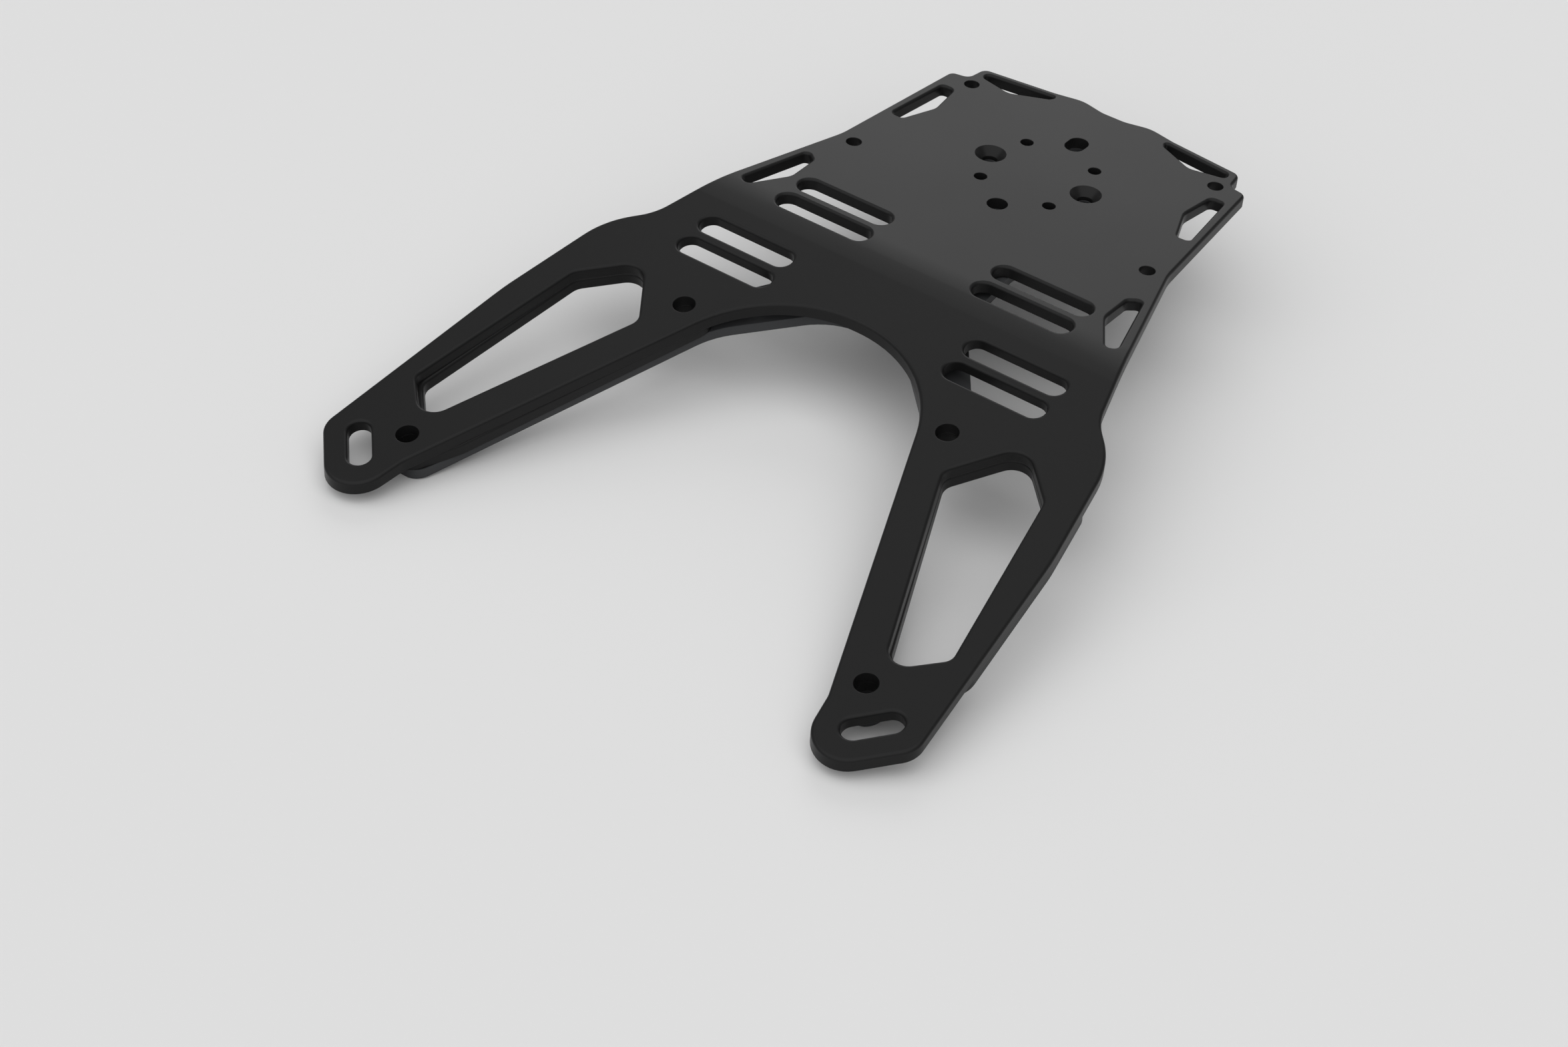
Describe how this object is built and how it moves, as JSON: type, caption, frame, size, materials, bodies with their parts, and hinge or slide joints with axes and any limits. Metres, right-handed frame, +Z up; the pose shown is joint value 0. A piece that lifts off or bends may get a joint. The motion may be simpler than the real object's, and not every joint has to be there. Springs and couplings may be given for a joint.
{
  "type": "motorcycle luggage rack",
  "caption": "Black motorcycle luggage rack: a bent top plate with strap slots and windowed arms, a spacer under each arm and a lower plate.",
  "frame": {"origin": "middle of the four accessory holes, on the platform's top face", "axes": "+Z up, arm tips toward -Y (front of the motorcycle), platform toward +Y, mirror plane X = 0"},
  "size_m": [0.2716, 0.361, 0.0493],
  "materials": {
    "satin_black": "satin black powder coat with a fine grain",
    "satin_grey": "satin dark grey coat"
  },
  "bodies": {
    "root": {"top_plate": "satin_black", "spacer_left": "satin_black", "spacer_right": "satin_black", "lower_plate": "satin_grey"}
  },
  "joints": []
}
